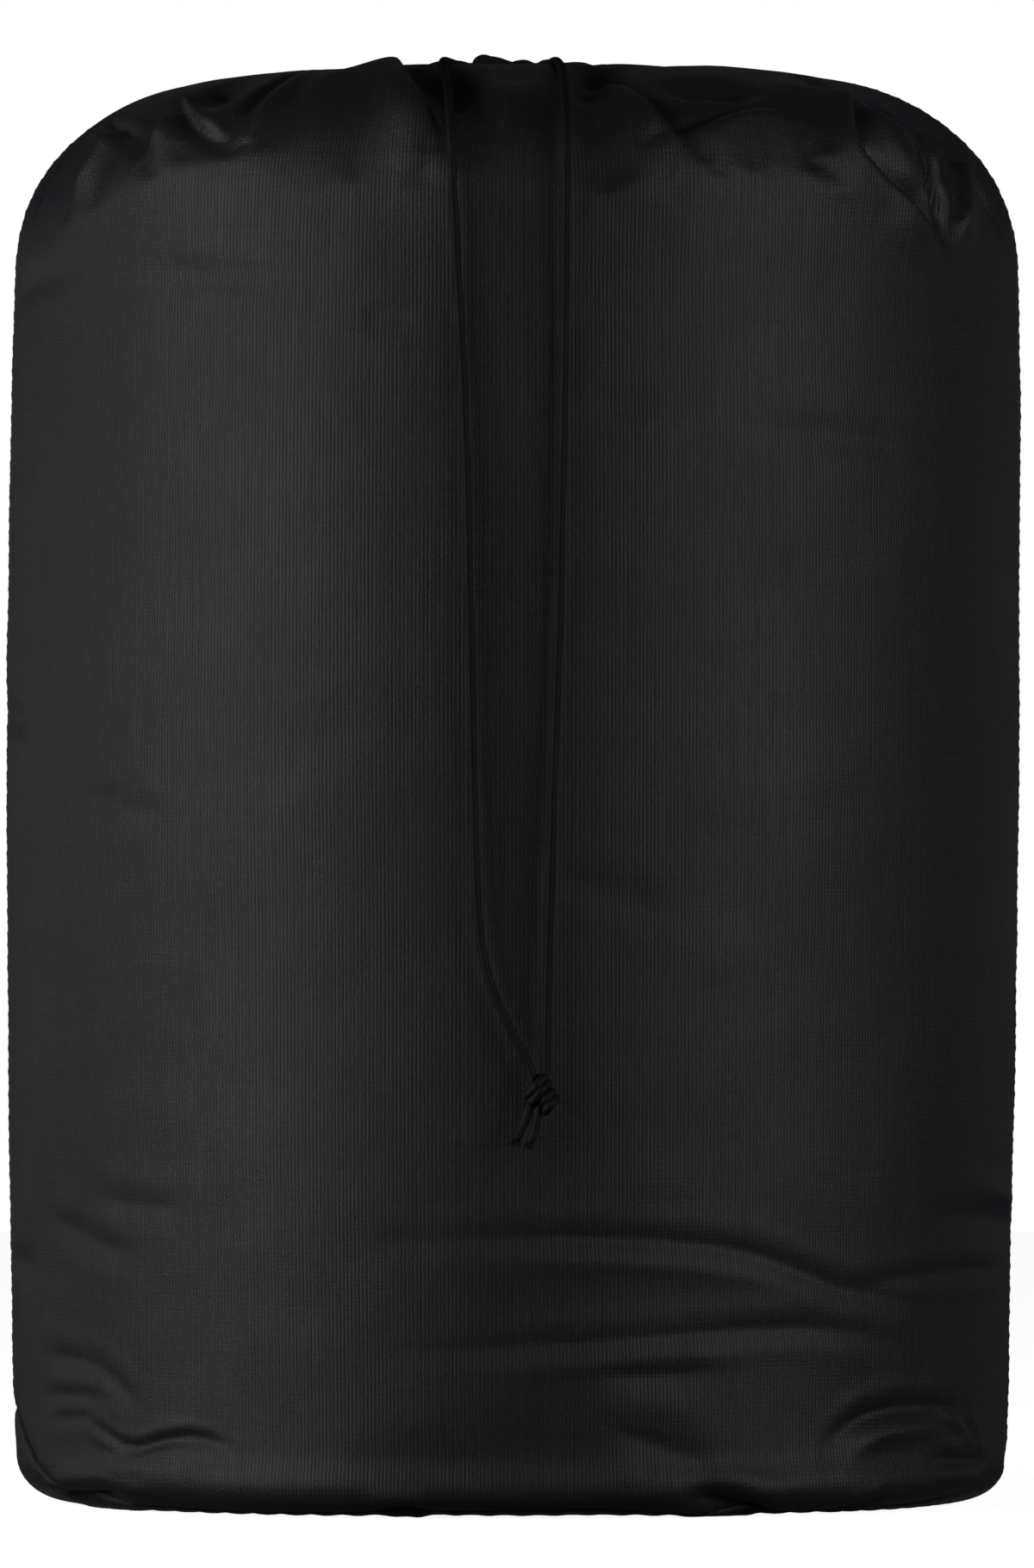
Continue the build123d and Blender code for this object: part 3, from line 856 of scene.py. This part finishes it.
def on_wall(angle, arc, lift=0.0):
    """Points on the finished cloth, lifted off it, and the normals there."""
    turn = (np.asarray(angle) + np.pi / 2) % (2 * np.pi) - np.pi / 2
    column = np.interp(turn, edge_angles, np.arange(COLUMNS + 1)) % COLUMNS
    low = np.floor(column).astype(int) % COLUMNS
    high, part = (low + 1) % COLUMNS, (column - np.floor(column))[..., None]
    begin = seam_arcs[low] * (1 - part[..., 0]) + seam_arcs[high] * part[..., 0]
    row = np.interp((arc - begin) / (COLLAR_ARC - begin), row_shares, np.arange(ROWS))
    under = np.minimum(np.floor(row).astype(int), ROWS - 2)
    up = (row - under)[..., None]

    def read(grid):
        lower = grid[under, low] * (1 - part) + grid[under, high] * part
        upper = grid[under + 1, low] * (1 - part) + grid[under + 1, high] * part
        return lower * (1 - up) + upper * up

    normals = unit(read(wall_normals))
    return read(wall) + normals * np.asarray(lift)[..., None], normals


def shell(name, outer, normals, uv, material, closed=False, thickness=CLOTH_THICKNESS):
    """A closed sheet of cloth: a grid of points, one inside it and the edges between."""
    rows, columns = outer.shape[:2]
    count = rows * columns
    points = np.concatenate([outer.reshape(-1, 3), (outer - normals * thickness).reshape(-1, 3)])
    face = grid_faces(rows, columns, closed)
    lining = [tuple(count + k for k in reversed(corners)) for corners in face]
    foot, head = list(range(columns)), list(range((rows - 1) * columns, count))[::-1]
    if closed:
        loops = [foot + foot[:1], head + head[:1]]
    else:
        right = [r * columns + columns - 1 for r in range(1, rows - 1)]
        left = [r * columns for r in range(rows - 2, 0, -1)]
        loops = [foot + right + head + left + foot[:1]]
    rim = [(b, a, count + a, count + b) for loop in loops for a, b in zip(loop, loop[1:])]
    return make_mesh(name, points, face + lining + rim, material,
                     uv=np.concatenate([uv.reshape(-1, 2)] * 2))


def panel(name, first, last):
    """The cloth between two columns, as one panel."""
    columns = np.arange(first, last + 1)
    picked = columns % COLUMNS
    across = np.broadcast_to(edge_angles[columns] * BODY_RADIUS, (ROWS, len(columns)))
    uv = np.stack([across, wall_arcs[:, picked]], axis=2)
    return shell(name, wall[:, picked], wall_normals[:, picked], uv, body_cloth)


front_cloth = panel("front_cloth", 0, FRONT_COLUMNS)
back_cloth = panel("back_cloth", FRONT_COLUMNS, COLUMNS)


# --- base ---
def make_base():
    """The round base, up to its seam, as a closed disc."""
    shares = (np.linspace(0.004, 1, BASE_ROWS) ** 0.8)[:, None]
    arcs = seam_arcs * shares
    angles = np.broadcast_to(column_angles, arcs.shape)
    pucker = 0.2 * MM * bump(arcs, seam_arcs - 5 * MM, 5 * MM) * np.sin(87 * angles)
    outer = profile_points(angles, arcs, fold_depth(angles, arcs) + seam_groove(angles, arcs) + pucker)
    outer[..., 2] = np.maximum(outer[..., 2], BASE_GAP * MM)
    inner = outer - grid_normals(outer) * CLOTH_THICKNESS
    rings = np.concatenate([outer, inner[::-1]])
    flat = np.stack([arcs * np.sin(angles), -arcs * np.cos(angles)], axis=2)
    flat = np.concatenate([flat, flat[::-1]]).reshape(-1, 2)
    uv = np.concatenate([flat, np.zeros((2, 2))])
    return make_mesh("base_cloth", *capped(rings), base_cloth, uv=uv)


base_piece = make_base()


# --- seams ---
def stitch_row(name, path, normals, pitch, length, radius=0.28 * MM):
    """Stitches along a path: rounded, and bent so that their ends go into the cloth."""
    around = np.linspace(0, 2 * np.pi, 8, endpoint=False)
    spots = np.linspace(-1, 1, 7)
    girth = np.sqrt(np.clip(1 - np.abs(spots) ** 3, 0.04, 1))
    along = lengths_along(path)
    places = np.arange(pitch / 2, along[-1], pitch)
    ups = read_at(normals, along, places)
    before, centres, after = (read_at(path, along, places + k * pitch) for k in (-0.3, 0, 0.3))
    parts = []
    for centre, up, start, end in zip(centres, ups, before, after):
        ahead = unit(end - start)
        side = unit(np.cross(ahead, up))
        up = np.cross(side, ahead)
        arch = (0.3 - 1.1 * spots[:, None] ** 2) * radius
        middle = centre + ahead * spots[:, None] * length / 2 + up * arch
        ring = np.cos(around)[:, None] * side + np.sin(around)[:, None] * up
        parts.append(capped(middle[:, None, :] + ring * (radius * girth)[:, None, None]))
    return make_mesh(name, *joined(parts), sewing)


SEAM_HALF_WIDTH = 3.1 * MM
SEAM_ROW_OFFSET = 1.5 * MM
SEAM_SECTION = [(-1.0, -0.4), (-0.99, 0.1), (-0.9, 0.2), (-0.7, 0.24), (-0.48, 0.12), (-0.2, 0.25),
                (0.2, 0.25), (0.48, 0.12), (0.7, 0.24), (0.9, 0.2), (0.99, 0.1), (1.0, -0.4)]
SEAM_TOP_GAP = 3 * MM     # where the seam ends, before the collar
STITCH_LIFT = 0.12 * MM


def side_seam(side, middle):
    """The felled side seam and its two rows of stitches."""
    start = float(seam_arc(np.array([middle]))[0])
    arcs = np.arange(start + 1 * MM, COLLAR_ARC - SEAM_TOP_GAP, 1.2 * MM)
    radius = np.maximum(np.interp(arcs, PROFILE_ARC, PROFILE[:, 0]), 50 * MM)
    pucker = 0.06 * MM * np.sin(arcs / (7 * MM) * 2 * np.pi + 2 * np.sin(arcs / (31 * MM)))
    rings, uv = [], []
    for across, high in SEAM_SECTION:
        lift = high * MM + pucker * (high > 0)
        points, _ = on_wall(middle + across * SEAM_HALF_WIDTH / radius, arcs, lift)
        rings.append(points)
        uv.append(np.stack([np.full(arcs.shape, across * SEAM_HALF_WIDTH), arcs], axis=1))
    uv = np.concatenate([np.stack(uv, axis=1).reshape(-1, 2), np.zeros((2, 2))])
    strip = make_mesh(f"{side}_seam", *capped(np.stack(rings, axis=1)), body_cloth, uv=uv)
    rows = [on_wall(middle + offset / radius, arcs, STITCH_LIFT + pucker)
            for offset in (-SEAM_ROW_OFFSET, SEAM_ROW_OFFSET)]
    path, normals = (np.concatenate([upward, downward[::-1]]) for upward, downward in zip(*rows))
    return strip, stitch_row(f"{side}_seam_stitches", path, normals,
                             pitch=3.2 * MM, length=2.5 * MM, radius=0.2 * MM)


left_seam, left_stitches = side_seam("left", -np.pi / 2)
right_seam, right_stitches = side_seam("right", np.pi / 2)

round_angles = np.linspace(-np.pi / 2, 1.5 * np.pi, 1400)
base_line, base_normals = on_wall(round_angles, seam_arc(round_angles) + 0.8 * MM)
base_stitches = stitch_row("base_stitches", base_line, base_normals, pitch=3.2 * MM, length=2.3 * MM)


def make_tape():
    """The tape that binds the seam's edges, inside the wall."""
    arcs = seam_arcs + np.linspace(1.5, 9.0, 6)[:, None] * MM
    angles = np.broadcast_to(column_angles, arcs.shape)
    outer = profile_points(angles, arcs, fold_depth(angles, arcs) - 1.8 * MM)
    uv = np.stack([angles * BODY_RADIUS, arcs], axis=2)
    return shell("seam_tape", outer, grid_normals(outer), uv, tape_cloth, closed=True,
                 thickness=0.5 * MM)


seam_tape = make_tape()


# --- gathered channel ---
LOBES = 21
HEM_TURN = 6 * MM         # cloth per radian round the cord
CHANNEL_MIDDLE = 396.1 * MM
EXIT_ANGLE = math.atan2(EXIT_OFFSET, -CORD_EXIT_Y)


def channel_rings():
    """The hem that the cord gathers: an uneven ruffle of folded cloth, ring by ring."""
    angles = np.linspace(-np.pi, np.pi, 640, endpoint=False)
    turns = np.linspace(0, 2 * np.pi, 48, endpoint=False)
    spots, rng = uneven(LOBES, 31, 0.4)
    out, high = rng.uniform(0.45, 1, LOBES), rng.uniform(0.2, 1, LOBES)
    lean = 0.16 * np.sin(turns)[None, :] + 0.05 * np.cos(2 * turns + 1)[None, :]
    here = round_angle(angles[:, None] + lean)
    lobe = np.clip(np.searchsorted(spots, here, side="right") - 1, 0, LOBES - 1)
    share = (here - spots[lobe]) / (spots[lobe + 1] - spots[lobe])
    crown = np.sin(np.pi * np.clip(share, 0, 1)) ** 0.6
    exits = bump(np.abs(round_angle(angles)), EXIT_ANGLE, 0.10)[:, None]
    crown = crown * (1 - exits)
    cos, sin = np.cos(turns)[None, :], np.sin(turns)[None, :]
    outward = (4.5 + 4.3 * crown * out[lobe]) * MM
    inward = (4.2 + 4.6 * crown * out[lobe]) * MM
    radius = CORD_RING_RADIUS + np.where(cos > 0, outward, inward) * np.sign(cos) * np.abs(cos) ** 0.85
    rise = (3.0 + 1.7 * crown * high[lobe] + 2.4 * bump(np.degrees(angles), -21, 13)[:, None]) * MM
    height = CHANNEL_MIDDLE + rise * sin + 0.5 * MM * np.sin(3 * angles + 1)[:, None] * (sin > 0) * sin
    x, y = radius * np.sin(angles)[:, None], -radius * np.cos(angles)[:, None]
    return angles, turns, np.stack([x, y, height], axis=2)


def loop_faces(rows, columns):
    """Quads of a grid that closes both ways."""
    return [
        (r * columns + c, (r + 1) % rows * columns + c,
         (r + 1) % rows * columns + (c + 1) % columns, r * columns + (c + 1) % columns)
        for r in range(rows) for c in range(columns)
    ]


def make_channel():
    """The channel and the stitches that close it, low on its outer side."""
    angles, turns, rings = channel_rings()
    uv = np.stack(np.meshgrid(angles * BODY_RADIUS, turns * HEM_TURN, indexing="ij"), axis=2)
    channel = make_mesh("channel_hem", rings.reshape(-1, 3), loop_faces(*rings.shape[:2]),
                        body_cloth, uv=uv.reshape(-1, 2))
    low = len(turns) * 7 // 8
    normals = unit(rings[:, low] - rings.mean(axis=1))
    path, normals = (np.concatenate([x, x[:1]]) for x in (rings[:, low], normals))
    return channel, stitch_row("channel_stitches", path, normals, pitch=2.6 * MM, length=1.9 * MM)


channel_hem, channel_stitches = make_channel()


def buttonhole(x):
    """A ring of close stitches round the hole that the cord leaves by."""
    turns = np.linspace(0, 2 * np.pi, 168, endpoint=False)
    around = np.linspace(0, 2 * np.pi, 12, endpoint=False)
    wrap = 0.55 + 0.10 * np.sin(28 * turns)
    wide = 2.2 + wrap[:, None] * np.cos(around)
    points = np.stack([x + wide * MM * np.cos(turns)[:, None],
                       CORD_EXIT_Y + 0.8 * MM + wrap[:, None] * MM * np.sin(around),
                       CORD_HEIGHT + wide * MM * np.sin(turns)[:, None]], axis=2)
    return points.reshape(-1, 3), loop_faces(len(turns), len(around))


holes = joined([buttonhole(-EXIT_OFFSET), buttonhole(EXIT_OFFSET)])
buttonholes = make_mesh("buttonhole_threads", *holes, sewing)


# --- knot and tails ---
KNOT_LEAN = math.radians(28)
KNOT_TURNS = (-0.15, 1.55)
TUCKED_END = 4.4 * MM     # length of a strand below the knot's middle
LEFT_TAIL = metres([(6, -146.6, 116), (4.6, -147, 112.6), (2.9, -147.3, 107.6), (0.6, -147.2, 103)])
RIGHT_TAIL = metres([(7.6, -147.2, 115), (6.8, -147.6, 111.6), (6.1, -148, 106.8), (4.4, -147.9, 102.2)])
FRAY_FIBRES, FRAY_RADIUS = 34, 0.13 * MM


def make_knot():
    """An overhand knot in both strands: two wraps side by side round the pair."""
    up = np.array([-math.sin(KNOT_LEAN), 0, math.cos(KNOT_LEAN)])
    right = np.array([math.cos(KNOT_LEAN), 0, math.sin(KNOT_LEAN)])
    back = np.array([0, 1.0, 0])
    centre = np.array(KNOT_CENTRE)
    parts = []
    for wrap, shift in enumerate((-1.15, 1.15)):
        turns = np.linspace(*KNOT_TURNS, 60)
        angle = 2 * np.pi * turns + 0.3 * wrap
        wide = 3.15 + 0.15 * np.sin(5 * angle + wrap)
        height = (turns - 0.7) * 4.6 + shift + 0.3 * np.sin(angle * 2)
        tuck = np.clip(np.minimum(turns - KNOT_TURNS[0], KNOT_TURNS[1] - turns) / 0.16, 0.25, 1)
        forward, aside = -0.92 * wide * tuck * np.cos(angle), wide * tuck * np.sin(angle)
        line = centre + MM * sum(size[:, None] * way for size, way in
                                 ((height, up), (forward, back), (aside, right)))
        parts.append(tube(line, CORD_RADIUS * 1.02))
    for path, x, y in ((left_path, -1.0, 0.4), (right_path, 1.0, -0.4)):
        middle = centre + MM * (x * right + y * back)
        line = np.array([path[-6], path[-1], middle, middle - TUCKED_END * up])
        parts.append(tube(line, CORD_RADIUS * 0.99))
    return cord_mesh("knot_wraps", parts)


def tail(name, route, seed):
    """A short end of the cord, frayed where it was cut."""
    rng = np.random.default_rng(seed)
    line = nurbs_line(route)
    ahead = unit(line[-1] - line[-8])
    parts = [tube(line, CORD_RADIUS * 0.98)]
    for _ in range(FRAY_FIBRES):
        spread, turn = rng.uniform(0.15, 1.0), rng.uniform(0, 2 * np.pi)
        side = np.array([math.cos(turn), 0.55 * math.sin(turn), 0.35 * math.sin(turn)])
        root = line[-1] + side * CORD_RADIUS * 0.75 * spread - ahead * 0.6 * MM
        length = rng.uniform(1.0, 2.3) * MM
        bend = rng.normal(0, 0.35, 3)
        middle = root + (ahead + 0.35 * side * spread) * length * 0.6
        tip = middle + (ahead + 0.9 * side * spread + bend) * length * 0.5
        fibre = nurbs_line([root, middle, tip])
        parts.append(tube(fibre, FRAY_RADIUS, around=6, step=0.2 * MM, braided=False))
    return cord_mesh(name, parts)


knot_wraps = make_knot()
left_tail = tail("left_tail", LEFT_TAIL, 41)
right_tail = tail("right_tail", RIGHT_TAIL, 42)

# --- floor, lights and surroundings ---
FLOOR_RADIUS, FLOOR_SIDES = 3, 96
ROOM_COLOUR, WHITE = (0.015, 0.016, 0.019), (1, 1, 1)


def make_floor():
    """A round white floor that throws no light on the sack."""
    paint = Material("floor_paint", Base_Color=(0.8, 0.8, 0.8, 1), Roughness=0.9,
                     Emission_Color=(*WHITE, 1), Emission_Strength=0.93)
    turns = np.linspace(0, 2 * np.pi, FLOOR_SIDES, endpoint=False)
    points = [(FLOOR_RADIUS * math.cos(t), FLOOR_RADIUS * math.sin(t), 0) for t in turns]
    piece = make_mesh("floor", points, [range(FLOOR_SIDES)], paint.finish(), smooth=False)
    piece.visible_glossy = False
    piece.visible_diffuse = False
    return piece


floor_piece = make_floor()


def softbox(name, bearing, height, distance, width, tall, power):
    """An area light that faces the sack; bearing is in degrees from the front towards +X."""
    data = bpy.data.lights.new(name, "AREA")
    data.shape = "RECTANGLE"
    data.size, data.size_y, data.energy = width, tall, power
    lamp = bpy.data.objects.new(name, data)
    turn = math.radians(bearing)
    lamp.location = (distance * math.sin(turn), -distance * math.cos(turn), height)
    aim = Vector((0, 0, 0.2)) - Vector(lamp.location)
    lamp.rotation_euler = aim.to_track_quat("-Z", "Y").to_euler()
    lamp.visible_camera = False
    bpy.context.scene.collection.objects.link(lamp)


def surroundings():
    """White for the camera, and a dim room for everything else."""
    world = bpy.data.worlds.new("surroundings")
    world.use_nodes = True
    tree = world.node_tree
    tree.nodes.clear()
    ray, switch, out = (tree.nodes.new(kind) for kind in (
        "ShaderNodeLightPath", "ShaderNodeMixShader", "ShaderNodeOutputWorld"))
    tree.links.new(ray.outputs["Is Camera Ray"], switch.inputs["Fac"])
    for socket, colour in zip(switch.inputs[1:], (ROOM_COLOUR, WHITE)):
        background = tree.nodes.new("ShaderNodeBackground")
        background.inputs["Color"].default_value = (*colour, 1)
        tree.links.new(background.outputs[0], socket)
    tree.links.new(switch.outputs[0], out.inputs["Surface"])
    return world


# name, bearing, height, distance, width, height of the light, power
for lamp in (
    ("left_softbox", -62, 0.42, 1.7, 1.8, 1.15, 8.8),
    ("left_key", -68, 0.42, 1.9, 0.6, 1.1, 3.0),
    ("right_softbox", 54, 0.42, 1.7, 1.3, 1.1, 6.9),
    ("left_back_softbox", -128, 0.20, 2.0, 1.2, 0.5, 0.8),
    ("right_back_softbox", 138, 0.20, 2.0, 1.2, 0.5, 0.2),
):
    softbox(*lamp)
bpy.context.scene.world = surroundings()
bpy.context.scene.view_settings.view_transform = "Standard"

# --- bodies, replaced nodes and soft pieces ---
ON_SACK = {
    front_cloth: (("front_panel", "front_gathers"), "body_fabric"),
    back_cloth: (("back_panel", "back_gathers"), "body_fabric"),
    base_piece: (("base_panel",), "base_fabric"),
    left_seam: (("side_seam_left",), "body_fabric"),
    right_seam: (("side_seam_right",), "body_fabric"),
    left_stitches: (("side_seam_thread_left",), "sewing_thread"),
    right_stitches: (("side_seam_thread_right",), "sewing_thread"),
    base_stitches: (("base_seam_thread",), "sewing_thread"),
    seam_tape: (("base_seam_tape",), "seam_tape"),
    channel_hem: (("drawcord_channel",), "channel_fabric"),
    channel_stitches: (("channel_thread",), "sewing_thread"),
    buttonholes: (("buttonholes",), "buttonhole_thread"),
}
ON_DRAWCORD = {
    knot_wraps: (("drawcord_knot",), "cord"),
    left_tail: (("drawcord_left_tail",), "cord"),
    right_tail: (("drawcord_right_tail",), "cord"),
}
for body, pieces in (("sack", ON_SACK), ("drawcord", ON_DRAWCORD)):
    for piece, (nodes, slot) in pieces.items():
        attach(piece, body)
        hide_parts(*nodes)
for piece, nodes, path in (
    (left_cord, ("drawcord_left_top", "drawcord_left_strand"), left_path),
    (right_cord, ("drawcord_right_top", "drawcord_right_strand"), right_path),
):
    top, bottom = (path[np.abs(path[:, 2] - z).argmin()] for z in (BLEND_TOP, BLEND_BOTTOM))
    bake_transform(piece)
    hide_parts(*nodes)
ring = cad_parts["drawcord_in_channel"]
for place_slot in ring.material_slots:
    place_slot.material = braid
